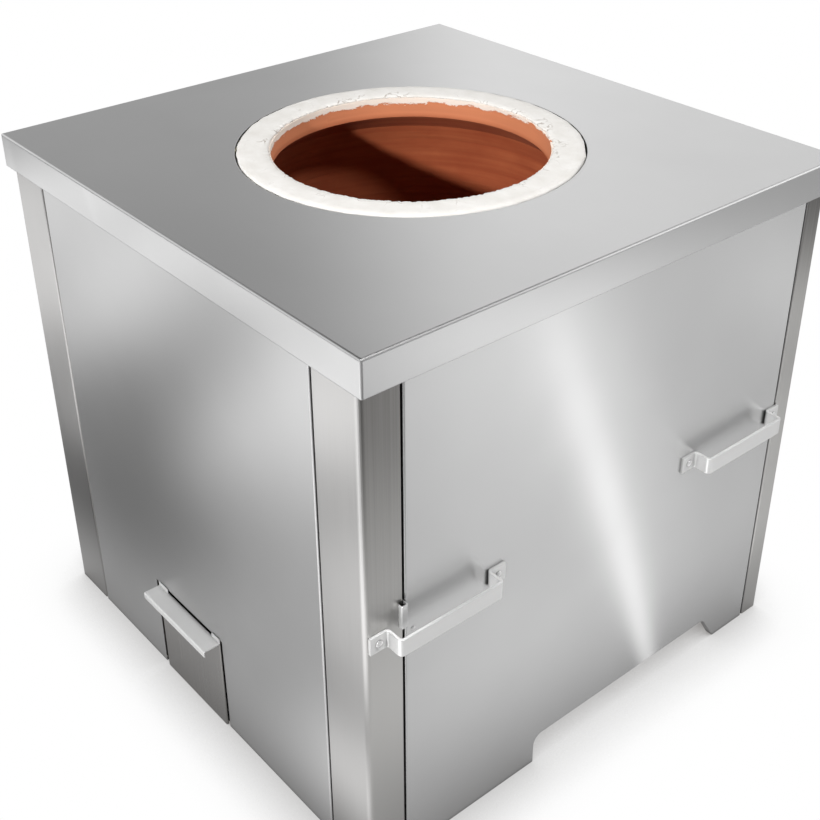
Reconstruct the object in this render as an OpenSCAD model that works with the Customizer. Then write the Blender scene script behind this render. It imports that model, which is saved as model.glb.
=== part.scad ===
// Square stainless-steel clay oven, a charcoal-fired tandoor.
// Front (-Y) holds the ash door, the right side (+X) two lifting handles and a kick notch.
// Origin: centre of the base, on the floor. Millimetres, +Z up.

/* [Casing] */
// Side of the square top sheet
top_w = 810; // [740:1:900]
// Height of the top sheet above the floor
body_h = 780; // [720:1:900]
// Height of the rim folded down round the top sheet
rim_h = 47; // [30:1:60]
// Outer radius of the top sheet's folded edges
rim_r = 3; // [2:0.5:5]
// Rim overhang past the front and rear faces
overhang_y = 6; // [4:0.5:16]
// Rim overhang past the two side faces
overhang_x = 13.5; // [6:0.5:20]
// Thickness of the stainless sheet
sheet_t = 1.5; // [1:0.1:2]
// Depth of the folded-in edges, measured from the outer face
fold_d = 12; // [9:0.5:16]
// Outer radius of the folded-in edges
fold_r = 2.5; // [2:0.1:3.5]
// Width of the open groove between a post and a panel
groove = 3; // [2.2:0.1:5]
// Gap between the top of the posts and panels and the top sheet
head_gap = 4; // [2:0.5:10]

/* [Corner posts] */
// Width of a post's leg on the front and rear faces
leg_front = 82; // [60:1:100]
// Width of a front post's leg on the side faces
leg_side_front = 56; // [46:1:70]
// Width of a rear post's leg on the side faces
leg_side_rear = 36; // [30:1:60]
// Outer radius of the posts' corner bend
post_r = 7; // [4:0.5:10]

/* [Kick notch] */
// Front end of the notch at the floor
notch_y0 = -110; // [-160:1:-60]
// Rear end of the notch at the floor
notch_y1 = 288; // [240:1:300]
// How far the notch's rear side leans in from floor to top
notch_lean = 30; // [0:1:40]
// Height of the notch
notch_h = 48; // [30:1:48]
// Radius of the notch's upper corners
notch_r = 16; // [8:1:20]

/* [Frame] */
// Leg width of the steel angle
angle_w = 40; // [30:1:50]
// Thickness of the steel angle
angle_t = 4; // [3:0.5:6]
// Height of the base rails above the floor
base_z = 50; // [49:0.5:60]
// Width of a pot bearer
bearer_w = 30; // [20:1:50]
// Height of a pot bearer
bearer_h = 20; // [15:1:30]
// Wall of the bearer tube
bearer_t = 2; // [1.5:0.5:3]
// Distance of each bearer from the middle of the oven
bearer_y = 150; // [100:1:200]
// Thickness of the base tray
tray_t = 2; // [1.5:0.5:4]
// Clearance between loosely fitted pieces
fit = 0.3; // [0.2:0.05:0.5]

/* [Clay pot] */
// Inner diameter of the mouth
mouth_d = 380; // [340:2:420]
// Wall of the pot
clay_t = 32; // [24:1:38]
// Outer diameter of the belly
belly_d = 620; // [580:2:660]
// Height of the belly's widest ring above the floor
belly_z = 340; // [300:5:400]
// Outer diameter at the pot's foot
foot_d = 550; // [520:2:560]
// Height of the straight throat below the pot's lip
throat_h = 29; // [27:1:60]
// Depth of the pot's lip below the top sheet
lip_depth = 1; // [0:0.5:12]
// Diameter of the slab under the pot
slab_d = 570; // [560:2:580]
// Thickness of the slab under the pot
slab_t = 15; // [12:1:30]
// Width of the ash port in the pot
port_w = 130; // [90:2:150]
// Height of the ash port's arch
port_h = 85; // [70:1:90]

/* [Mouth collar] */
// Width of the plaster ring round the mouth
collar_w = 47; // [44:1:60]
// How far the collar stands above the top sheet
collar_rise = 3; // [1:0.5:6]
// Depth of the collar's skirt below the pot's lip
collar_skirt = 24; // [15:1:26]
// Width of the collar's bevelled outer edge
collar_bevel = 2; // [1:0.5:3]
// Gap between the collar and the hole in the top sheet
collar_gap = 0.6; // [0.3:0.1:2]

/* [Ash door] */
// Left edge of the ash opening
ash_x0 = -118; // [-140:1:-100]
// Right edge of the ash opening
ash_x1 = 60; // [45:1:80]
// Height of the ash opening
ash_h = 163; // [140:1:175]
// Gap between the opening and the left edge of the door
door_gap_left = 11; // [3:0.5:14]
// Gap between the opening and the right edge of the door
door_gap_right = 3.5; // [2:0.5:8]
// Height of the open slot above the door
door_slot = 4.5; // [2:0.5:8]
// Height of the door's lower edge above the floor
door_clear = 2; // [1:0.5:5]
// How far the door's plate stands out from the front panel
door_proud = 3; // [2:0.5:6]
// Depth of the door's side plates
door_d = 48; // [30:1:60]
// Depth of the pull's tread
pull_d = 26; // [18:1:34]
// Height of the pull's turned-down edge
pull_lip = 10; // [6:0.5:14]
// Length of the pull's left ear
ear_left = 24; // [12:1:36]
// Length of the pull's right ear
ear_right = 20; // [12:1:36]
// Overlap of the ears with the panel above the opening
ear_lap = 2.5; // [1.5:0.5:5]

/* [Ash chute] */
// Thickness of the chute's sheet
chute_t = 2; // [1.5:0.5:3]
// Height of the ash pit's floor above the ground
pit_z = 8; // [6:0.5:12]
// Height of the chute's ceiling above the ground
chute_z = 190; // [182:1:220]

/* [Grate] */
// Gap all round between the charcoal grate and the mouth it lifts through
grate_gap = 15; // [8:1:40]
// Height of the grate's underside above the slab
grate_lift = 100; // [90:1:140]
// Width of the grate's bars and ring
grate_bar = 9; // [6:1:14]
// Depth of the grate's bars
grate_t = 12; // [8:1:16]
// Spacing of the grate's bars
grate_pitch = 27; // [20:1:36]
// Diameter of the grate's three legs
grate_leg_d = 16; // [12:1:20]
// Distance of the legs in from the grate's rim
grate_leg_in = 2; // [1:0.5:6]

/* [Handles] */
// Overall length of a handle
handle_l = 212; // [200:1:230]
// Length of a handle across the outsides of its two legs
handle_span = 162; // [150:1:170]
// Width of the handle's flat bar
handle_w = 24; // [18:1:30]
// Thickness of the handle's flat bar
handle_t = 4; // [3:0.5:6]
// Distance from the panel to the bar's outer face
handle_reach = 29; // [24:0.5:40]
// Inner bend radius of the handle
handle_r = 2.5; // [1.5:0.5:5]
// Height of the handles' centre line
handle_z = 390; // [300:1:500]
// Distance from the front corner to the front handle's foot
handle_inset = 4; // [1:0.5:4]
// Distance from the rear handle's last screw to the panel's edge
seam_gap = 8; // [8:0.5:14]
// Diameter of a handle screw
screw_d = 6; // [5:0.5:6]
// Diameter of a screw's round head
screw_head_d = 10; // [8.5:0.5:12]
// Height of a screw's head
screw_head_h = 3.3; // [2:0.1:4]
// Size of a nut across its flats
nut_af = 10; // [9:0.5:10]
// Thickness of a nut
nut_h = 5; // [3:0.5:6]

/* [Seam clip] */
// Height of the clip's middle above the floor
clip_z = 411; // [380:1:440]
// Height of the clip's hook
clip_h = 34; // [20:1:40]
// How far the hook stands out from the post
clip_out = 7; // [4:0.5:9]
// Width of the hook
clip_w = 9; // [7:0.5:14]
// Thickness of the clip's strip
clip_t = 1.2; // [0.8:0.1:1.4]
// Distance of the rivet from the panel's edge
rivet_in = 12; // [11:0.5:16]
// Distance of the rivet below the middle of the clip
rivet_drop = 32; // [24:1:36]
// Diameter of the rivet's head
rivet_head_d = 7.5; // [6:0.5:9]
// Diameter of the rivet's shank
rivet_d = 4; // [3:0.2:5]

/* [Hidden] */
$fn = 96;

steel = "#c9cacc";
steel_dark = "#8d9092";
clay = "#b5623a";
plaster = "#efece6";

cut = 1; // how far a cutting shape runs past what it cuts
half_x = top_w / 2 - overhang_x;
half_y = top_w / 2 - overhang_y;
wall_h = body_h - head_gap - sheet_t;
front_edge = half_x - leg_front;
side_edge_front = -half_y + leg_side_front + groove;
side_edge_rear = half_y - leg_side_rear - groove;

rail_x = half_x - fold_d;
rail_y = half_y - fold_d;
rail_len_x = 2 * (rail_x - angle_w);
rail_len_y = 2 * rail_y;
top_rail_z = body_h - sheet_t;
bearer_z = base_z + angle_t;
tray_z = bearer_z + bearer_h;
slab_z = tray_z + tray_t;
pot_z = slab_z + slab_t;
lip_z = body_h - lip_depth;
throat_z = lip_z - throat_h;
skirt_z = lip_z - collar_skirt;
neck_r = mouth_d / 2 + clay_t;

pit_y = -slab_d / 2 - fit - chute_t;
port_x = (ash_x0 + ash_x1) / 2;

door_x0 = ash_x0 + door_gap_left;
door_x1 = ash_x1 - door_gap_right;
door_top = ash_h - door_slot - sheet_t;
door_y = -half_y - door_proud;

screw_run = handle_l / 2 - (handle_l - handle_span) / 4;
handle_front_y = -half_y + handle_inset + handle_l / 2;
handle_rear_y = side_edge_rear - seam_gap - screw_run;

grate_d = mouth_d - 2 * grate_gap;
collar_d = mouth_d + 2 * collar_w;

seam_y = side_edge_front - groove / 2;
rivet_y = side_edge_front + rivet_in;
rivet_z = clip_z - rivet_drop;
tail_end = rivet_in + rivet_head_d;

// ---- flat shapes ----

function unit(v) = v / norm(v);
function left_of(v) = [-v[1], v[0]];
function turn_of(a, b) = atan2(a[0] * b[1] - a[1] * b[0], a * b);

// Points and normals round one bend, of middle radius r, between directions a and b
function bend(corner, a, b, r, steps = 6) =
    let(turn = turn_of(a, b), side = sign(turn))
    let(start = corner - a * r * tan(abs(turn) / 2))
    let(middle = start + left_of(a) * side * r)
    let(heading = atan2(a[1], a[0]))
    [for (k = [0:steps])
        let(h = heading + turn * k / steps, n = [-sin(h), cos(h)])
        [middle - n * side * r, n]];

// A path of straight runs with a bend at each inner point, as points and normals
function bent_path(pts, radii) = [
    [pts[0], left_of(unit(pts[1] - pts[0]))],
    for (i = [1:len(pts) - 2])
        each bend(pts[i], unit(pts[i] - pts[i - 1]), unit(pts[i + 1] - pts[i]), radii[i - 1]),
    [pts[len(pts) - 1], left_of(unit(pts[len(pts) - 1] - pts[len(pts) - 2]))]
];

// Section of a bent sheet of thickness t, whose middle line is pts
module bent_sheet(pts, radii, t) {
    path = bent_path(pts, radii);
    polygon(concat(
        [for (p = path) p[0] + p[1] * t / 2],
        [for (i = [len(path) - 1:-1:0]) path[i][0] - path[i][1] * t / 2]
    ));
}

module rounded_square(w, r) {
    for (sx = [-1, 1], sy = [-1, 1])
        translate([sx * (w / 2 - r), sy * (w / 2 - r)]) circle(r);
    square([w - 2 * r, w], center = true);
    square([w, w - 2 * r], center = true);
}

// Upright section with both top corners rounded
module arched_section(w, h, r) {
    for (sx = [-1, 1])
        translate([sx * (w / 2 - r), h - r]) circle(r);
    translate([-w / 2, 0]) square([w, h - r]);
    translate([-w / 2 + r, 0]) square([w - 2 * r, h]);
}

module angle_section() {
    square([angle_t, angle_w]);
    square([angle_w, angle_t]);
}

// Outline of the kick notch, grown outwards by g
module notch_outline(g) {
    path = bent_path([
        [notch_y0, 0],
        [notch_y0, notch_h],
        [notch_y1 - notch_lean, notch_h],
        [notch_y1, 0]
    ], [notch_r, notch_r]);
    polygon([for (p = path) p[0] + p[1] * g]);
}

// ---- casing ----

module pan_block(w, h, r) {
    intersection() {
        linear_extrude(h) rounded_square(w, r);
        rotate([90, 0, 0]) linear_extrude(w + cut, center = true) arched_section(w, h, r);
        rotate([90, 0, 90]) linear_extrude(w + cut, center = true) arched_section(w, h, r);
    }
}

module top_sheet() {
    color(steel)
    translate([0, 0, body_h - rim_h])
    difference() {
        pan_block(top_w, rim_h, rim_r);
        translate([0, 0, -cut])
            pan_block(top_w - 2 * sheet_t, rim_h - sheet_t + cut, max(rim_r - sheet_t, 0.5));
        cylinder(h = rim_h + cut, d = collar_d + 2 * collar_gap);
    }
}

// A corner post in the (-X, -Y) corner
module post(leg_x, leg_y) {
    m = sheet_t / 2;
    linear_extrude(wall_h)
        translate([-half_x, -half_y])
            bent_sheet([
                [leg_x - m, fold_d],
                [leg_x - m, m],
                [m, m],
                [m, leg_y - m],
                [fold_d, leg_y - m]
            ], [fold_r - m, post_r - m, fold_r - m], sheet_t);
}

module post_front_left() {
    color(steel)
    difference() {
        post(leg_front, leg_side_front);
        mirror([1, 0, 0]) handle_holes(handle_front_y);
    }
}

module post_front_right() {
    color(steel)
    difference() {
        mirror([1, 0, 0]) post(leg_front, leg_side_front);
        handle_holes(handle_front_y);
    }
}

module post_rear_left() {
    color(steel) mirror([0, 1, 0]) post(leg_front, leg_side_rear);
}

module post_rear_right() {
    color(steel) mirror([1, 0, 0]) mirror([0, 1, 0]) post(leg_front, leg_side_rear);
}

// A panel from x0 to x1, outer face at y = 0, folded edges towards +Y
module panel(x0, x1) {
    m = sheet_t / 2;
    linear_extrude(wall_h)
        bent_sheet([[x0 + m, fold_d], [x0 + m, m], [x1 - m, m], [x1 - m, fold_d]],
            [fold_r - m, fold_r - m], sheet_t);
    translate([x0 + m, m, 0]) cube([x1 - x0 - sheet_t, fold_d - m, sheet_t]);
}

module front_panel() {
    color(steel)
    translate([0, -half_y, 0])
    difference() {
        panel(-front_edge + groove, front_edge - groove);
        translate([ash_x0, -cut, -cut])
            cube([ash_x1 - ash_x0, fold_d + 2 * cut, ash_h + cut]);
    }
}

module rear_panel() {
    color(steel)
    translate([0, half_y, 0]) rotate([0, 0, 180]) panel(-front_edge + groove, front_edge - groove);
}

// The notched side panel, on the right
module side_panel() {
    difference() {
        translate([half_x, 0, 0]) rotate([0, 0, 90]) panel(side_edge_front, side_edge_rear);
        translate([half_x + cut, 0, 0]) notch_prism(fold_d + 2 * cut, 0);
        handle_holes(handle_front_y);
        handle_holes(handle_rear_y);
    }
    difference() {
        translate([half_x, 0, 0]) notch_prism(fold_d, sheet_t);
        translate([half_x + cut, 0, 0]) notch_prism(fold_d + 2 * cut, 0);
    }
}

// The notch's outline grown by g, from the plane x = 0 inwards
module notch_prism(depth, g) {
    translate([-depth, 0, 0])
        rotate([90, 0, 90]) linear_extrude(depth) notch_outline(g);
}

module right_panel() {
    color(steel)
    difference() {
        side_panel();
        rivet_hole();
    }
}

module left_panel() {
    color(steel) mirror([1, 0, 0]) side_panel();
}

// ---- frame ----

// An angle rail on the left side, or turned to another side, along the wall at distance from the middle
module rail(turn, distance, from, to, z, flip) {
    rotate([0, 0, turn])
        translate([-distance, 0, z])
            mirror([0, 0, flip])
                rotate([90, 0, 0])
                    translate([0, 0, from]) linear_extrude(to - from) angle_section();
}

module top_rail_front() {
    color(steel_dark) rail(90, rail_y, -rail_len_x / 2, rail_len_x / 2, top_rail_z, 1);
}

module top_rail_rear() {
    color(steel_dark) rail(270, rail_y, -rail_len_x / 2, rail_len_x / 2, top_rail_z, 1);
}

module top_rail_left() {
    color(steel_dark) rail(0, rail_x, -rail_len_y / 2, rail_len_y / 2, top_rail_z, 1);
}

module top_rail_right() {
    color(steel_dark) rail(180, rail_x, -rail_len_y / 2, rail_len_y / 2, top_rail_z, 1);
}

// The front base rail is in two lengths, one on each side of the ash chute
module base_rail_front_left() {
    color(steel_dark) rail(90, rail_y, -rail_len_x / 2, ash_x0 - chute_t, base_z, 0);
}

module base_rail_front_right() {
    color(steel_dark) rail(90, rail_y, ash_x1 + chute_t, rail_len_x / 2, base_z, 0);
}

module base_rail_rear() {
    color(steel_dark) rail(270, rail_y, -rail_len_x / 2, rail_len_x / 2, base_z, 0);
}

module base_rail_left() {
    color(steel_dark) rail(0, rail_x, -rail_len_y / 2, rail_len_y / 2, base_z, 0);
}

module base_rail_right() {
    color(steel_dark) rail(180, rail_x, -rail_len_y / 2, rail_len_y / 2, base_z, 0);
}

module pot_bearer(y) {
    span = 2 * (rail_x - angle_t);
    color(steel_dark)
    translate([0, y, bearer_z + bearer_h / 2])
    difference() {
        cube([span, bearer_w, bearer_h], center = true);
        cube([span + cut, bearer_w - 2 * bearer_t, bearer_h - 2 * bearer_t], center = true);
    }
}

module base_tray() {
    tray_x = rail_x - angle_t - fit;
    tray_y = rail_y - angle_t - fit;
    color(steel_dark)
    translate([0, 0, tray_z])
    difference() {
        translate([-tray_x, -tray_y, 0]) cube([2 * tray_x, 2 * tray_y, tray_t]);
        translate([ash_x0 - chute_t - fit, -tray_y - cut, -cut])
            cube([ash_x1 - ash_x0 + 2 * (chute_t + fit), tray_y + pit_y + chute_t + fit + cut, tray_t + 2 * cut]);
    }
}

// ---- clay pot and what surrounds it ----

// Outer radius at a height: a quarter ellipse up to the throat, a gentler curve down to the foot
function bell_r(z) = z > belly_z
    ? neck_r + (belly_d / 2 - neck_r) * sqrt(max(0, 1 - pow((z - belly_z) / (throat_z - belly_z), 2)))
    : foot_d / 2 + (belly_d - foot_d) / 2 * cos(90 * (belly_z - z) / (belly_z - pot_z));

bell_steps = 16;
bell_heights = concat(
    [for (k = [0:bell_steps / 2]) pot_z + (belly_z - pot_z) * k / (bell_steps / 2)],
    [for (k = [1:bell_steps]) belly_z + (throat_z - belly_z) * k / bell_steps]
);

// The pot's outer shape as a solid, grown by g
module bell(g) {
    rotate_extrude()
        polygon(concat(
            [[0, pot_z], [0, lip_z + g], [neck_r + g, lip_z + g]],
            [for (i = [len(bell_heights) - 1:-1:0]) [bell_r(bell_heights[i]) + g, bell_heights[i]]]
        ));
}

module clay_pot() {
    color(clay)
    difference() {
        rotate_extrude()
            polygon(concat(
                [[neck_r - clay_t, lip_z], [neck_r, lip_z]],
                [for (i = [len(bell_heights) - 1:-1:0]) [bell_r(bell_heights[i]), bell_heights[i]]],
                [for (z = bell_heights) [bell_r(z) - clay_t, z]]
            ));
        ash_port();
    }
}

// Arched port through the pot's front wall
module ash_port() {
    translate([port_x, -foot_d / 2 + 2 * clay_t, pot_z])
        rotate([90, 0, 0])
            linear_extrude(foot_d / 2) {
                translate([0, port_h - port_w / 2]) circle(d = port_w);
                translate([-port_w / 2, -cut]) square([port_w, port_h - port_w / 2 + cut]);
            }
}

module mouth_collar() {
    color(plaster)
    rotate_extrude()
        polygon([
            [mouth_d / 2, lip_z],
            [mouth_d / 2, body_h + collar_rise - collar_bevel],
            [mouth_d / 2 + collar_bevel, body_h + collar_rise],
            [collar_d / 2 - collar_bevel, body_h + collar_rise],
            [collar_d / 2, body_h + collar_rise - collar_bevel],
            [collar_d / 2, skirt_z],
            [neck_r + fit, skirt_z],
            [neck_r + fit, lip_z]
        ]);
}

module hearth_slab() {
    color("#9c8f82") translate([0, 0, slab_z]) cylinder(h = slab_t, d = slab_d);
}

module insulation_fill() {
    fill_x = rail_x - angle_t - fit;
    fill_y = rail_y - angle_t - fit;
    color("#d9c9a3")
    difference() {
        translate([-fill_x, -fill_y, slab_z])
            cube([2 * fill_x, 2 * fill_y, skirt_z - fit - slab_z]);
        bell(fit);
        translate([0, 0, slab_z - cut]) cylinder(h = slab_t + cut, d = slab_d + 2 * fit);
        translate([ash_x0 - chute_t - fit, -fill_y - cut, slab_z - cut])
            cube([ash_x1 - ash_x0 + 2 * (chute_t + fit), fill_y, chute_z + chute_t + fit - slab_z + cut]);
    }
}

// Flat iron grate on three legs, which lifts out through the mouth
module charcoal_grate() {
    grate_z = pot_z + grate_lift;
    rows = floor((grate_d / 2 - grate_bar) / grate_pitch);
    color("#4a4a4a") {
        translate([0, 0, grate_z])
            intersection() {
                for (k = [-rows:rows])
                    translate([k * grate_pitch - grate_bar / 2, -grate_d / 2, 0])
                        cube([grate_bar, grate_d, grate_t]);
                cylinder(h = grate_t, d = grate_d - grate_bar);
            }
        translate([0, 0, grate_z])
            difference() {
                cylinder(h = grate_t, d = grate_d);
                translate([0, 0, -cut]) cylinder(h = grate_t + 2 * cut, d = grate_d - 2 * grate_bar);
            }
        for (a = [90, 210, 330])
            rotate([0, 0, a]) translate([grate_d / 2 - grate_leg_in - grate_leg_d / 2, 0, pot_z + fit])
                cylinder(h = grate_lift + grate_t / 2 - fit, d = grate_leg_d);
    }
}

// ---- ash door and chute ----

module ash_chute() {
    chute_w = ash_x1 - ash_x0;
    front = -half_y + sheet_t;
    back = -foot_d / 2 + 2 * clay_t;
    color(steel_dark)
    difference() {
        union() {
            translate([ash_x0 - chute_t, front, pit_z - chute_t])
                cube([chute_w + 2 * chute_t, pit_y + chute_t - front, chute_z - pit_z + 2 * chute_t]);
            translate([ash_x0 - chute_t, front, pot_z])
                cube([chute_w + 2 * chute_t, back - front, chute_z + chute_t - pot_z]);
        }
        translate([ash_x0, front - cut, pit_z])
            cube([chute_w, pit_y - front + cut, chute_z - pit_z]);
        translate([ash_x0, front - cut, pot_z + chute_t])
            cube([chute_w, back - front + 2 * cut, chute_z - pot_z - chute_t]);
        bell(fit);
        translate([0, 0, slab_z - cut]) cylinder(h = slab_t + cut, d = slab_d + 2 * fit);
    }
}

module ash_door() {
    m = sheet_t / 2;
    color(steel)
    difference() {
        translate([0, 0, door_clear])
            linear_extrude(door_top - door_clear)
                bent_sheet([
                    [door_x0 + m, door_y + door_d],
                    [door_x0 + m, door_y + m],
                    [door_x1 - m, door_y + m],
                    [door_x1 - m, door_y + door_d]
                ], [fold_r - m, fold_r - m], sheet_t);
        translate([door_x0 - cut, -half_y, 0])
            cube([door_x1 - door_x0 + 2 * cut, door_d, pit_z + fit]);
    }
}

// Bent strip on the door's top edge: two ears, a tread and a turned-down lip
module ash_door_pull() {
    m = sheet_t / 2;
    ear_y = -half_y - fit - m;
    lip_y = ear_y - pull_d;
    color(steel)
    difference() {
        translate([door_x0, 0, 0])
            rotate([90, 0, 90])
                linear_extrude(door_x1 - door_x0)
                    bent_sheet([
                        [ear_y, ash_h + ear_lap],
                        [ear_y, door_top + m],
                        [lip_y, door_top + m],
                        [lip_y, door_top + sheet_t - pull_lip]
                    ], [2 * m, fold_r - m], sheet_t);
        translate([door_x0 + ear_left, ear_y - m - cut, door_top + sheet_t])
            cube([door_x1 - door_x0 - ear_left - ear_right, sheet_t + 2 * cut, ash_h]);
    }
}

// ---- handles ----

// Every screw of the four handles: side of the body, and place along it
screw_places = [
    for (side = [-1, 1], y = [handle_front_y, handle_rear_y], end = [-1, 1])
        [side, y + end * screw_run]
];

// The two screw holes of the right-side handle at y
module handle_holes(y) {
    for (end = [-1, 1])
        translate([half_x + handle_t + cut, y + end * screw_run, handle_z])
            rotate([0, -90, 0]) cylinder(h = fold_d + handle_t, d = screw_d + 2 * fit);
}

module handle(y) {
    m = handle_t / 2;
    leg = handle_span / 2 - m;
    bar = handle_reach - m;
    color("#dcdcdc")
    difference() {
        translate([half_x, y, handle_z - handle_w / 2])
            linear_extrude(handle_w)
                bent_sheet([
                    [m, -handle_l / 2],
                    [m, -leg],
                    [bar, -leg],
                    [bar, leg],
                    [m, leg],
                    [m, handle_l / 2]
                ], [for (k = [1:4]) handle_r + m], handle_t);
        handle_holes(y);
    }
}

module handle_right_front() {
    handle(handle_front_y);
}

module handle_right_rear() {
    handle(handle_rear_y);
}

module handle_left_front() {
    mirror([1, 0, 0]) handle(handle_front_y);
}

module handle_left_rear() {
    mirror([1, 0, 0]) handle(handle_rear_y);
}

// Round-head screws, heads outwards
module handle_screws() {
    grip = handle_t + sheet_t + nut_h + 1.5;
    color("#b9b9b9")
    for (p = screw_places)
        translate([p[0] * (half_x + handle_t), p[1], handle_z])
            rotate([0, p[0] * 90, 0]) {
                intersection() {
                    cylinder(h = screw_head_h, d = screw_head_d);
                    translate([0, 0, screw_head_h - screw_head_d * 0.7]) sphere(screw_head_d * 0.7);
                }
                translate([0, 0, -grip]) cylinder(h = grip + cut, d = screw_d);
            }
}

module handle_nuts() {
    color("#9a9a9a")
    for (p = screw_places)
        translate([p[0] * (half_x - sheet_t), p[1], handle_z])
            rotate([0, -p[0] * 90, 0])
                difference() {
                    cylinder(h = nut_h, d = nut_af / cos(30), $fn = 6);
                    translate([0, 0, -cut]) cylinder(h = nut_h + 2 * cut, d = screw_d + 0.1);
                }
}

// ---- seam clip ----

// Hook over the edge of the front right post, with a tail riveted behind the panel
module seam_clip() {
    m = clip_t / 2;
    hook_x = half_x + clip_out - m;
    inner_x = half_x - fold_d - fit - m;
    tail_x = half_x - sheet_t - m;
    step_y = side_edge_front + fold_r + clip_t + m;
    tail_z = rivet_z - rivet_head_d;
    color("#c4c4c4")
    difference() {
        union() {
            translate([0, 0, clip_z - clip_h / 2])
                linear_extrude(clip_h)
                    bent_sheet([
                        [half_x + fit, seam_y + m - clip_w],
                        [hook_x, seam_y + m - clip_w],
                        [hook_x, seam_y],
                        [inner_x + fold_d / 2, seam_y]
                    ], [clip_t, clip_t], clip_t);
            translate([0, 0, tail_z])
                linear_extrude(clip_z + clip_h / 2 - tail_z)
                    bent_sheet([
                        [inner_x + fold_d / 2 + cut, seam_y],
                        [inner_x, seam_y],
                        [inner_x, step_y],
                        [tail_x, step_y],
                        [tail_x, side_edge_front + tail_end]
                    ], [clip_t, clip_t, clip_t], clip_t);
        }
        rivet_hole();
    }
}

module rivet_hole() {
    translate([half_x - fold_d, rivet_y, rivet_z])
        rotate([0, 90, 0]) cylinder(h = fold_d + cut, d = rivet_d + fit);
}

module clip_rivet() {
    stack = sheet_t + clip_t;
    head_h = 1.6;
    color("#a8a8a8")
    translate([half_x, rivet_y, rivet_z])
        rotate([0, 90, 0]) {
            intersection() {
                cylinder(h = head_h, d = rivet_head_d);
                translate([0, 0, head_h - rivet_head_d * 0.7]) sphere(rivet_head_d * 0.7);
            }
            translate([0, 0, -stack - head_h]) cylinder(h = stack + head_h + cut, d = rivet_d);
            translate([0, 0, -stack - head_h]) cylinder(h = head_h, d = rivet_head_d - 1);
        }
}

top_sheet();
mouth_collar();
clay_pot();
insulation_fill();
hearth_slab();
charcoal_grate();
post_front_left();
post_front_right();
post_rear_left();
post_rear_right();
front_panel();
rear_panel();
left_panel();
right_panel();
top_rail_front();
top_rail_rear();
top_rail_left();
top_rail_right();
base_rail_front_left();
base_rail_front_right();
base_rail_rear();
base_rail_left();
base_rail_right();
pot_bearer(-bearer_y);  // pot_bearer_front
pot_bearer(bearer_y);  // pot_bearer_rear
base_tray();
ash_chute();
ash_door();
ash_door_pull();
handle_right_front();
handle_right_rear();
handle_left_front();
handle_left_rear();
handle_screws();
handle_nuts();
seam_clip();
clip_rivet();
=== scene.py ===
"""Finishes, plasterwork, camera and light for the square stainless clay oven."""

import math

import bmesh
import bpy
from mathutils import Matrix, Vector, noise


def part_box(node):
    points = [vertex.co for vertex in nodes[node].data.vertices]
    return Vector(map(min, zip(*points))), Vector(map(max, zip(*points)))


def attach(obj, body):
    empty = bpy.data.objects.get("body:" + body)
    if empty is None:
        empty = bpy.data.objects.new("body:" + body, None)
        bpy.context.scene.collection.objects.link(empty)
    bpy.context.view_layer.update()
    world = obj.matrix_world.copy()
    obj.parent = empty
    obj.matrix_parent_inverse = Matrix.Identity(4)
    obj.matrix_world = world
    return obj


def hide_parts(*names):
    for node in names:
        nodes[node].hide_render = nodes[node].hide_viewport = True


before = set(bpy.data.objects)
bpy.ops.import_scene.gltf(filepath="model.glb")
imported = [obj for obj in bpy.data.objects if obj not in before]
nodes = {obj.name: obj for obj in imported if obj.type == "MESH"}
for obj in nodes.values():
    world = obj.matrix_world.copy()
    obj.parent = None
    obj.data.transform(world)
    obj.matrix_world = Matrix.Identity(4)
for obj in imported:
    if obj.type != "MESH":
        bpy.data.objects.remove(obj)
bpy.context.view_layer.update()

MM = 0.001
WHITE = "#FFFFFF"
MIX_A, MIX_B, MIX_RESULT = 6, 7, 2  # a Mix node's colour sockets


def linear(hex_colour, factor=1.0):
    """Linear RGBA of an sRGB hex colour, made darker or lighter by factor but never past white."""
    parts = [int(hex_colour[i : i + 2], 16) / 255 for i in (1, 3, 5)]
    parts = [c / 12.92 if c <= 0.04045 else ((c + 0.055) / 1.055) ** 2.4 for c in parts]
    return [min(1.0, c * factor) for c in parts] + [1.0]


def add(tree, kind, inputs=None, **settings):
    """Adds a shader node. An input is a plain value or another node's output."""
    node = tree.nodes.new("ShaderNode" + kind)
    for name, value in settings.items():
        setattr(node, name, value)
    for key, value in (inputs or {}).items():
        if isinstance(value, bpy.types.NodeSocket):
            tree.links.new(value, node.inputs[key])
        else:
            node.inputs[key].default_value = value
    return node


def start_material(name):
    """An empty material, its output node and the point on the surface in the oven's frame."""
    material = bpy.data.materials.new(name)
    material.use_nodes = True
    tree = material.node_tree
    tree.nodes.clear()
    output = add(tree, "OutputMaterial")
    point = add(tree, "TexCoord").outputs["Object"]
    return material, tree, output, point


def dress(node_names, material):
    """Gives CAD nodes their finish."""
    for name in node_names:
        slots = nodes[name].data.materials
        slots.clear()
        slots.append(material)


# ---- steel ----

GRAIN_ALONG = 240 * MM  # length of a stroke left by the belt
STROKE_RELIEF = 0.1 * MM  # how deep the strokes of a sheet with depth 1 would be
CLOUD = 150 * MM  # size of the faint clouds in a sheet's tone
DENT = 260 * MM  # spacing of the slow waves in thin sheet
CREVICE_SHADE_REACH = 9 * MM  # painted shade darkens the steel this close to folds, feet and seams
CREVICE_SHADE_TONE = 0.35
EDGE = 1.4 * MM  # cut and folded edges are rounded this much and catch the light


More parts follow.
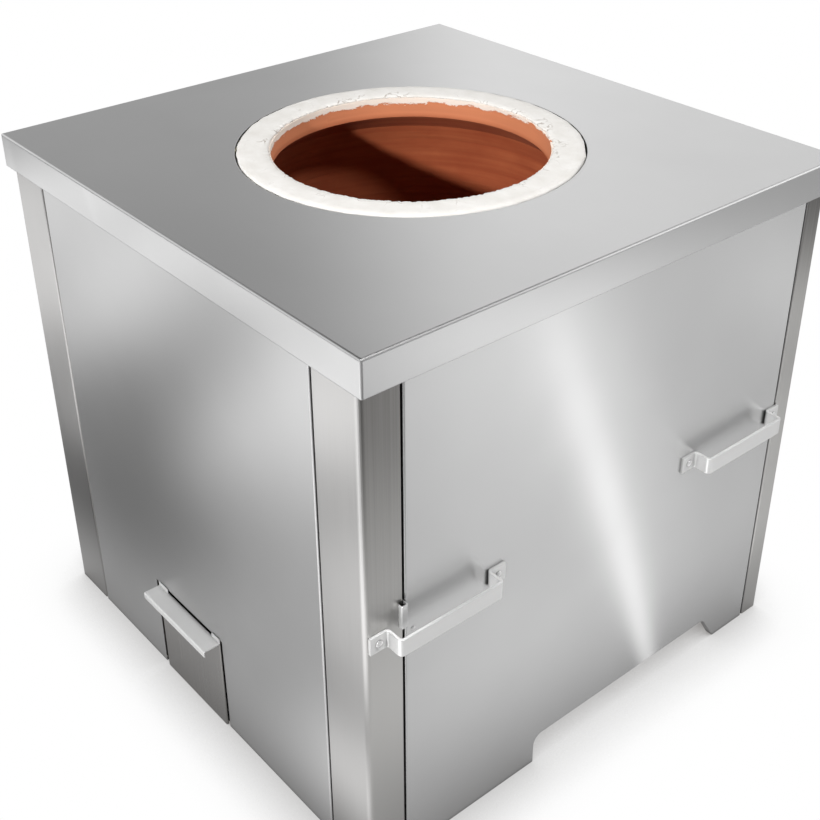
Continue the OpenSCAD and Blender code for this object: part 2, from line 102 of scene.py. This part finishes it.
def steel_sheet(
    name, colour, grain, across, grain_width, roughness, depth, smear, wave, cloud=0.06, metal=1.0
):
    """Steel with belt strokes along the axis grain, the slow waves of thin sheet, and painted shade
    in its crevices.

    across is the direction that the strokes spread a reflection in; None spreads it round the oven.
    depth is how far the strokes change the tone and the roughness. cloud is how far the faint
    clouds change the tone. smear draws a reflection out, and wave is the height of the waves.
    """
    material, tree, output, point = start_material(name)
    scales = [1 / grain_width] * 3
    scales["XYZ".index(grain)] = 1 / GRAIN_ALONG
    stretched = add(tree, "Mapping", {"Vector": point, "Scale": scales}).outputs[0]
    strokes = add(
        tree,
        "TexNoise",
        {"Vector": stretched, "Scale": 1.0, "Detail": 3.0, "Roughness": 0.6},
    ).outputs["Fac"]
    clouds = add(
        tree, "TexNoise", {"Vector": point, "Scale": 1 / CLOUD, "Detail": 2.0}
    ).outputs["Fac"]
    waves = add(
        tree, "TexNoise", {"Vector": point, "Scale": 1 / DENT, "Detail": 0.0}
    ).outputs["Fac"]
    tones = [
        add(tree, "MapRange", {"Value": pattern, 1: 0.3, 2: 0.7, 3: -reach, 4: reach}).outputs[0]
        for pattern, reach in ((strokes, depth), (clouds, cloud))
    ]
    shade = add(tree, "Math", {0: tones[0], 1: tones[1]}, operation="ADD").outputs[0]
    brightness = add(tree, "MapRange", {"Value": shade, 1: -0.5, 2: 0.5}).outputs[0]
    unshaded = add(
        tree,
        "Mix",
        {0: brightness, MIX_A: linear(colour, 0.5), MIX_B: linear(colour, 1.5)},
        data_type="RGBA",
    ).outputs[MIX_RESULT]
    # painted shade: the colour darkens in folds, seams and round the feet, where little light
    # reaches
    air = add(tree, "AmbientOcclusion", {"Distance": CREVICE_SHADE_REACH}, samples=4).outputs["AO"]
    wiped = add(tree, "MapRange", {"Value": air, 1: 0.35, 2: 0.85}).outputs[0]
    base = add(
        tree,
        "Mix",
        {0: wiped, MIX_A: linear(colour, CREVICE_SHADE_TONE), MIX_B: unshaded},
        data_type="RGBA",
    ).outputs[MIX_RESULT]
    rough = add(
        tree,
        "MapRange",
        {"Value": strokes, 1: 0.25, 2: 0.75, 3: roughness - depth, 4: roughness + depth},
    ).outputs[0]
    worn = add(tree, "Bevel", {"Radius": EDGE}, samples=4).outputs[0]
    fine = add(
        tree,
        "Bump",
        {"Height": strokes, "Distance": depth * STROKE_RELIEF, "Strength": 1.0, "Normal": worn},
    ).outputs[0]
    slow = add(
        tree, "Bump", {"Height": waves, "Distance": wave, "Strength": 1.0, "Normal": fine}
    ).outputs[0]
    if across:
        way = add(tree, "CombineXYZ", dict(zip("XYZ", across))).outputs[0]
    else:
        way = add(tree, "Tangent", direction_type="RADIAL", axis="Z").outputs[0]
    steel = add(
        tree,
        "BsdfPrincipled",
        {
            "Base Color": base,
            "Metallic": metal,
            "Roughness": rough,
            "Anisotropic": smear,
            "Normal": slow,
            "Tangent": way,
        },
    )
    tree.links.new(steel.outputs[0], output.inputs["Surface"])
    return material


LEG_STREAKS = (450, 450, 2)  # streaks per metre across and along a post
LEG_RAGGED = 0.12  # streaks end up to this many metres apart
LEG_SHADE_FROM, LEG_SHADE_TO = 0.46, 0.83  # painted shade: the side legs turn darker between these heights


def shade_side_leg_tops(material, low_colour, high_colour):
    """Painted shade: the posts' legs on the oven's left and right are darker towards the top."""
    tree = material.node_tree
    steel = tree.nodes["Principled BSDF"]
    spot = add(tree, "TexCoord").outputs
    facing = add(tree, "SeparateXYZ", {"Vector": spot["Normal"]}).outputs["X"]
    sideways = add(tree, "Math", {0: facing}, operation="ABSOLUTE").outputs[0]
    side = add(tree, "MapRange", {"Value": sideways, 1: 0.6, 2: 0.9}).outputs[0]
    height = add(tree, "SeparateXYZ", {"Vector": spot["Object"]}).outputs["Z"]
    stretched = add(tree, "Mapping", {"Vector": spot["Object"], "Scale": LEG_STREAKS}).outputs[0]
    streaks = add(
        tree, "TexNoise", {"Vector": stretched, "Scale": 1.0, "Detail": 3.0}
    ).outputs["Fac"]
    lifted = add(
        tree, "Math", {0: streaks, 1: LEG_RAGGED, 2: height}, operation="MULTIPLY_ADD"
    ).outputs[0]
    upper = add(
        tree, "MapRange", {"Value": lifted, 1: LEG_SHADE_FROM, 2: LEG_SHADE_TO}
    ).outputs[0]
    # painted shade: the side legs' colour, darker towards the top
    dull = add(
        tree,
        "Mix",
        {0: upper, MIX_A: linear(low_colour), MIX_B: linear(high_colour)},
        data_type="RGBA",
    ).outputs[MIX_RESULT]
    bright = steel.inputs["Base Color"].links[0].from_socket
    both = add(tree, "Mix", {0: side, MIX_A: bright, MIX_B: dull}, data_type="RGBA")
    tree.links.new(both.outputs[MIX_RESULT], steel.inputs["Base Color"])


UPRIGHT, FORWARD = (0, 0, 1), (0, 1, 0)

# Cold-rolled stainless with a faint level grain: soft mirror, reflections drawn out upright
panel_steel = steel_sheet(
    "stainless_sheet_fine_level_grain",
    "#D0D0D0",
    grain="Y",
    across=UPRIGHT,
    grain_width=1.5 * MM,
    roughness=0.25,
    depth=0.006,
    smear=0.9,
    wave=0.5 * MM,
    cloud=0.02,
)
# The same sheet on the front, a little rougher and more wavy: its reflections are softer
front_steel = steel_sheet(
    "stainless_sheet_fine_level_grain_front",
    "#C8C8C8",
    grain="X",
    across=UPRIGHT,
    grain_width=1.5 * MM,
    roughness=0.29,
    depth=0.006,
    smear=0.8,
    wave=1.2 * MM,
    cloud=0.02,
)
# The same sheet lying flat: its grain hardly shows, and a reflection stays nearly round
top_steel = steel_sheet(
    "stainless_sheet_top",
    "#C6C6C6",
    grain="X",
    across=FORWARD,
    grain_width=1.5 * MM,
    roughness=0.28,
    depth=0.005,
    smear=0.3,
    wave=0.5 * MM,
    cloud=0.02,
)
# Belt-ground stainless, strokes upright: silky, with highlights drawn out along the post.
# Real strokes are 0.2 mm wide and are drawn at 1.4 mm so that they show.
post_steel = steel_sheet(
    "stainless_ground_upright_grain",
    "#C2C1C0",
    grain="Z",
    across=None,
    grain_width=1.4 * MM,
    roughness=0.33,
    depth=0.02,
    smear=0.9,
    wave=0.6 * MM,
    cloud=0.04,
)
# painted shade on the posts' side legs, darker towards the top
shade_side_leg_tops(post_steel, "#C4C3C1", "#7B7977")
# The door's plate: a coarser upright grain and a darker tone than the panels
door_steel = steel_sheet(
    "stainless_sheet_door",
    "#A6A4A2",
    grain="Z",
    across=None,
    grain_width=2.5 * MM,
    roughness=0.24,
    depth=0.05,
    smear=0.5,
    wave=0.8 * MM,
)
# Flat bar blasted matt: whiter and softer than the sheet, part of it plain scattered light
handle_steel = steel_sheet(
    "stainless_flat_bar_bead_blasted",
    "#F2F2F1",
    grain="Y",
    across=UPRIGHT,
    grain_width=2 * MM,
    roughness=0.42,
    depth=0.010,
    smear=0.85,
    wave=0.2 * MM,
    cloud=0.02,
    metal=0.6,
)
# Hot-rolled angle and plate: dark mill scale, hardly any mirror
frame_steel = steel_sheet(
    "mild_steel_hot_rolled",
    "#6E6A66",
    grain="X",
    across=FORWARD,
    grain_width=4 * MM,
    roughness=0.48,
    depth=0.12,
    smear=0.2,
    wave=0.4 * MM,
    cloud=0.2,
)
# Turned and plated small parts: small pale glints
plated_steel = steel_sheet(
    "plated_turned_fasteners",
    "#EDEDED",
    grain="Z",
    across=None,
    grain_width=1 * MM,
    roughness=0.25,
    depth=0.02,
    smear=0.0,
    wave=0.0,
    cloud=0.02,
    metal=0.6,
)

FRAMEWORK = [name for name in nodes if "rail" in name or "bearer" in name]
POSTS = [name for name in nodes if name.startswith("post_")]
BARS = ["handle_right_front", "handle_right_rear", "handle_left_front", "handle_left_rear"]

dress(["top_sheet"], top_steel)
dress(["left_panel", "right_panel"], panel_steel)
dress(["front_panel", "rear_panel"], front_steel)
dress(POSTS, post_steel)
dress(["ash_door"], door_steel)
dress(BARS + ["ash_door_pull"], handle_steel)
dress(FRAMEWORK + ["base_tray", "ash_chute"], frame_steel)
dress(["handle_screws", "handle_nuts", "seam_clip", "clip_rivet"], plated_steel)


# ---- clay, plaster and what is under them ----


def matt_finish(name, light, dark, patch, grit, roughness, bump):
    """A dull mineral surface: two colours in patches, and grit raised by bump."""
    material, tree, output, point = start_material(name)
    patches = add(
        tree, "TexNoise", {"Vector": point, "Scale": 1 / patch, "Detail": 4.0}
    ).outputs["Fac"]
    grains = add(
        tree, "TexNoise", {"Vector": point, "Scale": 1 / grit, "Detail": 4.0, "Roughness": 0.65}
    ).outputs["Fac"]
    share = add(tree, "MapRange", {"Value": patches, 1: 0.35, 2: 0.65}).outputs[0]
    colour = add(
        tree, "Mix", {0: share, MIX_A: linear(dark), MIX_B: linear(light)}, data_type="RGBA"
    ).outputs[MIX_RESULT]
    relief = add(tree, "Bump", {"Height": grains, "Distance": bump, "Strength": 0.6}).outputs[0]
    body = add(
        tree, "BsdfPrincipled", {"Base Color": colour, "Roughness": roughness, "Normal": relief}
    )
    tree.links.new(body.outputs[0], output.inputs["Surface"])
    return material


lip_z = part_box("clay_pot")[1].z

RIB = 9 * MM  # spacing of the potter's finger ribs
BLOTCH = 60 * MM  # size of the fire's blotches in the clay
LIT_BAND_FROM, LIT_BAND_TO = lip_z - 34 * MM, lip_z - 22 * MM  # painted light: the throat turns paler between these heights, as where light falls in
SMEAR_FROM = lip_z - 16 * MM  # plaster seldom runs lower than this
SMEAR_STROKES = (50, 50, 120)  # wiping strokes per metre across and down the wall


def terracotta():
    """Fired clay, ribbed by the potter's hand, with plaster wiped down over the throat."""
    material, tree, output, point = start_material("terracotta_hand_thrown")
    place = add(tree, "SeparateXYZ", {"Vector": point}).outputs
    height = place["Z"]
    # ribs run round the wall and are never quite level
    angle = add(tree, "Math", {0: place["Y"], 1: place["X"]}, operation="ARCTAN2").outputs[0]
    climb = add(tree, "Math", {0: height, 1: 1 / RIB}, operation="MULTIPLY").outputs[0]
    round_wall = add(tree, "CombineXYZ", {"X": angle, "Y": climb}).outputs[0]
    ribs = add(
        tree, "TexNoise", {"Vector": round_wall, "Scale": 1.0, "Detail": 2.0}
    ).outputs["Fac"]
    blotches = add(
        tree, "TexNoise", {"Vector": point, "Scale": 1 / BLOTCH, "Detail": 4.0}
    ).outputs["Fac"]
    fired = add(
        tree, "Math", {0: ribs, 1: blotches}, operation="MULTIPLY", use_clamp=True
    ).outputs[0]
    clay = add(
        tree,
        "Mix",
        {0: fired, MIX_A: linear("#8E3A19"), MIX_B: linear("#C97548")},
        data_type="RGBA",
    ).outputs[MIX_RESULT]
    # painted light: the top of the throat is paler, as where light falls into the mouth
    lit_band = add(
        tree, "MapRange", {"Value": height, 1: LIT_BAND_FROM, 2: LIT_BAND_TO, 3: 0.0, 4: 0.5}
    ).outputs[0]
    lit_clay = add(
        tree, "Mix", {0: lit_band, MIX_A: clay, MIX_B: linear("#E89A6E")}, data_type="RGBA"
    ).outputs[MIX_RESULT]
    # plaster smears: thick at the lip, torn along the wiping strokes, most on the left
    wiped = add(tree, "Mapping", {"Vector": point, "Scale": SMEAR_STROKES}).outputs[0]
    strokes = add(
        tree,
        "TexNoise",
        {"Vector": wiped, "Scale": 1.0, "Detail": 6.0, "Roughness": 0.7, "Distortion": 0.6},
    ).outputs["Fac"]
    left_to_right = add(
        tree,
        "MapRange",
        {"Value": place["X"], 1: -150 * MM, 2: 120 * MM, 3: -0.20, 4: 0.10},
    ).outputs[0]
    down = add(
        tree, "MapRange", {"Value": height, 1: SMEAR_FROM, 2: lip_z, 3: 0.60, 4: -0.08}
    ).outputs[0]
    reach = add(tree, "Math", {0: down, 1: left_to_right}, operation="ADD").outputs[0]
    excess = add(tree, "Math", {0: strokes, 1: reach}, operation="SUBTRACT").outputs[0]
    smear = add(tree, "MapRange", {"Value": excess, 1: 0.42, 2: 0.46}).outputs[0]
    skin = add(
        tree, "Mix", {0: smear, MIX_A: lit_clay, MIX_B: linear("#E9DCD0")}, data_type="RGBA"
    ).outputs[MIX_RESULT]
    ribbed = add(
        tree, "Bump", {"Height": ribs, "Distance": 1.2 * MM, "Strength": 0.5}
    ).outputs[0]
    crust = add(
        tree,
        "Bump",
        {"Height": smear, "Distance": 0.8 * MM, "Strength": 0.5, "Normal": ribbed},
    ).outputs[0]
    body = add(
        tree, "BsdfPrincipled", {"Base Color": skin, "Roughness": 0.85, "Normal": crust}
    )
    tree.links.new(body.outputs[0], output.inputs["Surface"])
    return material


# Distance from the oven's axis: cracks are open inside the first, and only faint beyond the second
CRACKS_FROM, CRACKS_TO = 196 * MM, 214 * MM
CRACK_CELL = 42 * MM


def plaster():
    """Refractory plaster trowelled by hand: chalky white, with hairline cracks by the clay."""
    material, tree, output, point = start_material("refractory_plaster_trowelled")
    drag = add(
        tree,
        "TexNoise",
        {"Vector": point, "Scale": 1 / (30 * MM), "Detail": 5.0, "Roughness": 0.6},
    ).outputs["Fac"]
    grains = add(
        tree, "TexNoise", {"Vector": point, "Scale": 1 / (4 * MM), "Detail": 3.0}
    ).outputs["Fac"]
    cloudy = add(tree, "MapRange", {"Value": drag, 1: 0.3, 2: 0.7}).outputs[0]
    white = add(
        tree,
        "Mix",
        {0: cloudy, MIX_A: linear("#CDCAC5"), MIX_B: linear("#DAD8D5")},
        data_type="RGBA",
    ).outputs[MIX_RESULT]
    # cracks follow the edges of cells, bent by the drag of the trowel, and most of them are filled
    sway = add(tree, "TexNoise", {"Vector": point, "Scale": 1 / (25 * MM)}).outputs["Color"]
    bent = add(
        tree, "Mix", {0: 0.06, MIX_A: point, MIX_B: sway}, data_type="RGBA"
    ).outputs[MIX_RESULT]
    edge = add(
        tree,
        "TexVoronoi",
        {"Vector": bent, "Scale": 1 / CRACK_CELL},
        feature="DISTANCE_TO_EDGE",
    ).outputs["Distance"]
    crack = add(
        tree, "MapRange", {"Value": edge, 1: 0.010, 2: 0.03, 3: 1.0, 4: 0.0}
    ).outputs[0]
    unfilled = add(tree, "MapRange", {"Value": drag, 1: 0.50, 2: 0.60}).outputs[0]
    open_crack = add(tree, "Math", {0: crack, 1: unfilled}, operation="MULTIPLY").outputs[0]
    level = add(tree, "VectorMath", {0: point, 1: (1, 1, 0)}, operation="MULTIPLY").outputs[0]
    radius = add(tree, "VectorMath", {0: level}, operation="LENGTH").outputs["Value"]
    near_clay = add(
        tree, "MapRange", {"Value": radius, 1: CRACKS_FROM, 2: CRACKS_TO, 3: 1.0, 4: 0.15}
    ).outputs[0]
    shown = add(tree, "Math", {0: open_crack, 1: near_clay}, operation="MULTIPLY").outputs[0]
    skin = add(
        tree, "Mix", {0: shown, MIX_A: white, MIX_B: linear("#958B81")}, data_type="RGBA"
    ).outputs[MIX_RESULT]
    dragged = add(
        tree, "Bump", {"Height": drag, "Distance": 1.5 * MM, "Strength": 0.35}
    ).outputs[0]
    gritty = add(
        tree,
        "Bump",
        {"Height": grains, "Distance": 0.3 * MM, "Strength": 0.35, "Normal": dragged},
    ).outputs[0]
    body = add(
        tree, "BsdfPrincipled", {"Base Color": skin, "Roughness": 0.9, "Normal": gritty}
    )
    tree.links.new(body.outputs[0], output.inputs["Surface"])
    return material


# Pressed firebrick: sandy patches and a fine open grit
firebrick = matt_finish(
    "firebrick_pressed",
    light="#B39A7F",
    dark="#8E7A66",
    patch=40 * MM,
    grit=3 * MM,
    roughness=0.9,
    bump=0.5 * MM,
)
# Ceramic fibre: woolly and cream-coloured
fibre = matt_finish(
    "ceramic_fibre_blanket",
    light="#E6DEC9",
    dark="#CFC4AA",
    patch=50 * MM,
    grit=2 * MM,
    roughness=0.95,
    bump=0.8 * MM,
)
# Sand-cast iron: nearly black, with the sand's pitted skin
cast_iron = matt_finish(
    "cast_iron_sand_cast",
    light="#4A4744",
    dark="#2C2A29",
    patch=30 * MM,
    grit=2 * MM,
    roughness=0.7,
    bump=0.4 * MM,
)
dress(["clay_pot"], terracotta())
dress(["hearth_slab"], firebrick)
dress(["insulation_fill"], fibre)
dress(["charcoal_grate"], cast_iron)


def mesh_piece(name, mesh, material, body):
    """Links a bmesh as a smooth-shaded piece that rides on a body."""
    data = bpy.data.meshes.new(name)
    mesh.normal_update()
    mesh.to_mesh(data)
    mesh.free()
    data.materials.append(material)
    for face in data.polygons:
        face.use_smooth = True
    piece = bpy.data.objects.new(name, data)
    bpy.context.scene.collection.objects.link(piece)
    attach(piece, body)
    return piece


COLLAR_STEPS = 720
COLLAR_INNER = 190 * MM
COLLAR_SKIRT = COLLAR_INNER + 33 * MM  # from here outwards the plaster reaches down round the clay
COLLAR_SEAT = lip_z + 0.2 * MM  # its underside over the clay's lip


def collar_section(angle, outer, bottom, top):
    """The ring's outline at one angle, as (radius, height), with its edges worn uneven."""
    way = Vector((math.cos(angle), math.sin(angle), 0))
    slow = noise.noise(way * 5)
    torn = noise.fractal(way * 34, 0.5, 2.0, 4)
    rim_in = COLLAR_INNER + (1.6 + 1.4 * slow + 2.2 * max(-0.6, torn)) * MM
    rim_out = outer - (1.6 + 1.4 * noise.noise(way * 11 + Vector((7, 0, 0)))) * MM
    swell = 0.5 * MM * noise.noise(way * 6 + Vector((0, 3, 0)))
    outline = [
        (rim_in, COLLAR_SEAT),
        (rim_in + 0.6 * MM, top - 2.2 * MM + swell),
        (rim_in + 3.0 * MM, top - 0.9 * MM + swell),
        (rim_in + 12 * MM, top - 0.6 * MM + swell),
        (rim_out - 12 * MM, top - 0.6 * MM - swell),
        (rim_out - 3.0 * MM, top - 0.9 * MM),
        (rim_out - 0.5 * MM, top - 2.4 * MM),
        (rim_out, top - 4.5 * MM),
        (rim_out - 0.5 * MM, bottom + 2 * MM),
        (COLLAR_SKIRT, bottom + 2 * MM),
        (COLLAR_SKIRT, COLLAR_SEAT),
    ]
    return [way * radius + Vector((0, 0, height)) for radius, height in outline]


def trowelled_collar():
    """The plaster ring as it is laid: a flat top that dips and swells, and two uneven edges."""
    low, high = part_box("mouth_collar")
    mesh = bmesh.new()
    rings = []
    for step in range(COLLAR_STEPS):
        outline = collar_section(math.tau * step / COLLAR_STEPS, high.x, low.z, high.z)
        rings.append([mesh.verts.new(corner) for corner in outline])
    for a, b in zip(rings, rings[1:] + rings[:1]):
        for i in range(len(a)):
            j = (i + 1) % len(a)
            mesh.faces.new((a[i], b[i], b[j], a[j]))
    bmesh.ops.recalc_face_normals(mesh, faces=mesh.faces)
    return mesh


collar = mesh_piece("plaster_collar", trowelled_collar(), plaster(), "casing")
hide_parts("mouth_collar")


# ---- studio ----

# What the steel mirrors of the floor: x, y, turn (degrees), half length, half width (m) and level.
# The first is the lamp's own narrow streak, the others are pools.
FLOOR_PLAIN = 0.54
FLOOR_BRIGHTEST = 1.9  # no pool of light is brighter than this, so that the steel keeps its tone
FLOOR_ZONES = {
    "lamp_streak": (0.90, 0.555, 39, 0.95, 0.030, 2.3),
    "streak_glow": (1.00, 0.74, 39, 0.75, 0.12, 0.22),
    "near_right": (0.62, 0.10, 90, 0.80, 0.20, 0.50),
    "middle_right": (0.95, 0.35, 90, 0.80, 0.25, 0.45),
    "beyond_right": (1.38, 0.75, 90, 0.75, 0.33, 1.8),
    "far_right": (1.90, 0.90, 90, 1.30, 0.45, -0.3),
    "dark_right": (1.50, -0.50, 0, 0.65, 0.65, -0.5),
    "behind_right": (1.10, 1.40, 0, 0.50, 0.50, 0.6),
    "shoulder_right": (0.68, 0.75, 50, 0.45, 0.25, 0.15),
    "before_corner": (0.62, -0.80, 45, 0.45, 0.25, 1.4),
    "before_front": (0.35, -0.95, 0, 0.60, 0.35, 2.0),
    "beyond_front": (0.10, -1.50, 0, 0.90, 0.50, 2.8),
    "left_near": (-0.45, -0.65, 0, 0.40, 0.25, -0.6),
    "left_shade": (-0.90, -0.75, 20, 0.50, 0.35, -0.5),
    "left_middle": (-0.55, -1.02, 0, 0.38, 0.30, 1.8),
    "left_beyond": (-1.35, -1.10, 45, 0.55, 0.30, 1.3),
    "left_front": (-1.00, -1.50, 0, 0.70, 0.40, 2.6),
    "left_far": (-1.90, -1.20, 0, 0.50, 0.50, 1.8),
    "foot_front": (0.32, -0.52, 0, 0.35, 0.12, 0.8),
    "left_streak": (-0.85, 0.30, -39, 0.95, 0.08, 0.9),
    "left_pool": (-1.40, 0.10, 90, 0.70, 0.35, 0.8),
}
# What stands round the floor: azimuth, elevation, half width, half height and soft edge (degrees),
# and level
ROOM_CEILING = 0.02
ROOM_WALLS = 0.15
WALL_TOP, CEILING_FROM = 28, 52  # the walls fade into the ceiling between these elevations
ROOM_ZONES = {
    "window": (115, 22, 26, 22, 5, 0.88),
    "wall_behind": (150, 16, 16, 14, 12, 0.42),
    "wall_right_low": (62, 7, 22, 8, 6, 1.8),
    "wall_right_high": (62, 28, 22, 12, 8, 1.6),
    "wall_left": (207, 20, 36, 18, 12, 1.0),
}
FLOOR_RADIUS = 14
FLOOR_DROP = 0.5 * MM  # keeps the floor clear of the oven's own underside
CONTACT_REACH = 0.12  # the contact shade spreads this far from the oven
LAMP_AIM = (0, 0, 0.75)
SOFT_EDGE = {"interpolation_type": "SMOOTHSTEP"}


def sum_of(tree, plain, parts):
    """A plain level and the levels of all soft zones together, never below black."""
    total = plain
    for weight, level in parts:
        total = add(
            tree, "Math", {0: weight, 1: level, 2: total}, operation="MULTIPLY_ADD"
        ).outputs[0]
    return add(tree, "Math", {0: total, 1: 0.0}, operation="MAXIMUM").outputs[0]


def floor_level(tree, point, plain, zones):
    """How bright each place of the floor is in the steel."""
    parts = []
    for x, y, turn, half_length, half_width, level in zones:
        local = add(
            tree,
            "Mapping",
            {
                "Vector": point,
                "Location": (x, y, 0),
                "Rotation": (0, 0, math.radians(turn)),
                "Scale": (half_length, half_width, 1),
            },
            vector_type="TEXTURE",
        ).outputs[0]
        far = add(tree, "VectorMath", {0: local}, operation="LENGTH").outputs["Value"]
        within = add(tree, "MapRange", {"Value": far, 1: 1.0, 2: 0.0}, **SOFT_EDGE).outputs[0]
        parts.append((within, level))
    (streak, streak_level), *pools = parts
    pooled = sum_of(tree, plain, pools)
    total = add(tree, "Math", {0: pooled, 1: FLOOR_BRIGHTEST}, operation="MINIMUM").outputs[0]
    return add(
        tree, "Math", {0: streak, 1: streak_level, 2: total}, operation="MULTIPLY_ADD"
    ).outputs[0]


def room_level(tree, way, ceiling, walls, zones):
    """How bright the room is each way: a dim ceiling, pale walls and soft panes of light."""
    along = add(tree, "SeparateXYZ", {"Vector": way}).outputs
    height = add(tree, "Math", {0: along["Z"]}, operation="ARCSINE").outputs[0]
    limits = {"Value": height, 1: math.radians(CEILING_FROM), 2: math.radians(WALL_TOP)}
    parts = [(add(tree, "MapRange", limits, **SOFT_EDGE).outputs[0], walls)]
    for azimuth, elevation, half_width, half_height, soft, level in zones:
        turned = add(
            tree,
            "VectorRotate",
            {"Vector": way, "Angle": math.radians(-azimuth)},
            rotation_type="Z_AXIS",
        ).outputs[0]
        local = add(tree, "SeparateXYZ", {"Vector": turned}).outputs
        aside = add(tree, "Math", {0: local["Y"], 1: local["X"]}, operation="ARCTAN2").outputs[0]
        above = add(
            tree, "Math", {0: height, 1: math.radians(elevation)}, operation="SUBTRACT"
        ).outputs[0]
        within = []
        for angle, half in ((aside, half_width), (above, half_height)):
            off = add(tree, "Math", {0: angle}, operation="ABSOLUTE").outputs[0]
            limits = {"Value": off, 1: math.radians(half + soft), 2: math.radians(half - soft)}
            within.append(add(tree, "MapRange", limits, **SOFT_EDGE).outputs[0])
        pane = add(tree, "Math", {0: within[0], 1: within[1]}, operation="MULTIPLY").outputs[0]
        parts.append((pane, level))
    return sum_of(tree, ceiling, parts)


def direction(azimuth, elevation):
    """Unit vector from the oven; azimuth 0 is +X and 90 is +Y."""
    a, e = math.radians(azimuth), math.radians(elevation)
    return Vector((math.cos(a) * math.cos(e), math.sin(a) * math.cos(e), math.sin(e)))


def studio_floor():
    """White floor with the oven's contact shade; the steel mirrors it in uneven pools of light."""
    mesh = bmesh.new()
    bmesh.ops.create_circle(mesh, cap_ends=True, radius=FLOOR_RADIUS, segments=96)
    data = bpy.data.meshes.new("studio_floor")
    mesh.to_mesh(data)
    mesh.free()
    floor = bpy.data.objects.new("studio_floor", data)
    floor.location.z = -FLOOR_DROP
    bpy.context.scene.collection.objects.link(floor)
    material, tree, output, point = start_material("painted_white_floor")
    rays = add(tree, "LightPath").outputs
    shade = add(tree, "AmbientOcclusion", {"Distance": CONTACT_REACH}, samples=8).outputs["AO"]
    clear = add(tree, "MapRange", {"Value": shade, 1: 0.0, 2: 0.9}).outputs[0]
    contact = add(
        tree, "Mix", {0: clear, MIX_A: linear("#6A6663"), MIX_B: linear(WHITE)}, data_type="RGBA"
    ).outputs[MIX_RESULT]
    level = floor_level(tree, point, FLOOR_PLAIN, FLOOR_ZONES.values())
    seen = add(tree, "Emission", {"Color": contact, "Strength": 1.0}).outputs[0]
    mirrored = add(tree, "Emission", {"Color": contact, "Strength": level}).outputs[0]
    matt = add(tree, "BsdfDiffuse", {"Color": linear("#DCDBD9")}).outputs[0]
    indirect = add(tree, "MixShader", {0: rays["Is Glossy Ray"], 1: matt, 2: mirrored}).outputs[0]
    both = add(tree, "MixShader", {0: rays["Is Camera Ray"], 1: indirect, 2: seen}).outputs[0]
    tree.links.new(both, output.inputs["Surface"])
    data.materials.append(material)


def studio_world():
    """A grey room with soft bright walls, most on the right and behind; the camera sees white."""
    world = bpy.data.worlds.new("studio_room")
    bpy.context.scene.world = world
    world.use_nodes = True
    tree = world.node_tree
    tree.nodes.clear()
    way = add(tree, "TexCoord").outputs["Generated"]
    level = room_level(tree, way, ROOM_CEILING, ROOM_WALLS, ROOM_ZONES.values())
    room = add(tree, "Background", {"Color": linear(WHITE), "Strength": level}).outputs[0]
    backdrop = add(tree, "Background", {"Color": linear(WHITE), "Strength": 1.0}).outputs[0]
    rays = add(tree, "LightPath").outputs
    both = add(tree, "MixShader", {0: rays["Is Camera Ray"], 1: room, 2: backdrop}).outputs[0]
    output = add(tree, "OutputWorld")
    tree.links.new(both, output.inputs["Surface"])


def lamp(name, azimuth, elevation, distance, size, level):
    """A round softbox. level is the light that it lays on a surface square to it, 1 being white."""
    data = bpy.data.lights.new(name, "AREA")
    data.shape = "DISK"
    data.size = size
    data.energy = level * math.pi * math.pi * distance**2
    way = direction(azimuth, elevation)
    light = bpy.data.objects.new(name, data)
    light.location = Vector(LAMP_AIM) + way * distance
    light.rotation_mode = "QUATERNION"
    light.rotation_quaternion = way.to_track_quat("Z", "Y")
    light.visible_camera = False
    bpy.context.scene.collection.objects.link(light)


studio_floor()
studio_world()
# a low lamp from the front for the front face and the door's pull
lamp("front_lamp", azimuth=284, elevation=20, distance=4.0, size=0.22, level=1.05)
# a high lamp from the right, whose light falls through the mouth onto the pot's wall
lamp("right_lamp", azimuth=8, elevation=61, distance=3.5, size=0.30, level=0.74)


# ---- camera ----

SENSOR = 36
FOCAL_LENGTH = 56.9
SHIFT_Y = -60 / 820  # the photograph is cropped off centre by 60 of its 820 rows
CAMERA_PLACE = (1.2702, -1.0634, 1.4277)
CAMERA_AZIMUTH, CAMERA_ELEVATION, CAMERA_ROLL = 50.163, 30.363, -0.341


def photo_camera():
    """The photograph's viewpoint: right of the front corner, about 30 degrees above the horizon."""
    data = bpy.data.cameras.new("camera")
    data.sensor_width = SENSOR
    data.lens = FOCAL_LENGTH
    data.shift_y = SHIFT_Y
    camera = bpy.data.objects.new("camera", data)
    bpy.context.scene.collection.objects.link(camera)
    a, e, roll = (math.radians(d) for d in (CAMERA_AZIMUTH, CAMERA_ELEVATION, CAMERA_ROLL))
    back = Vector((math.sin(a) * math.cos(e), -math.cos(a) * math.cos(e), math.sin(e)))
    turn = (-back).to_track_quat("-Z", "Y").to_matrix() @ Matrix.Rotation(roll, 3, "Z")
    camera.location = CAMERA_PLACE
    camera.rotation_mode = "QUATERNION"
    camera.rotation_quaternion = turn.to_quaternion()
    bpy.context.scene.camera = camera


photo_camera()
bpy.context.scene.view_settings.view_transform = "Standard"
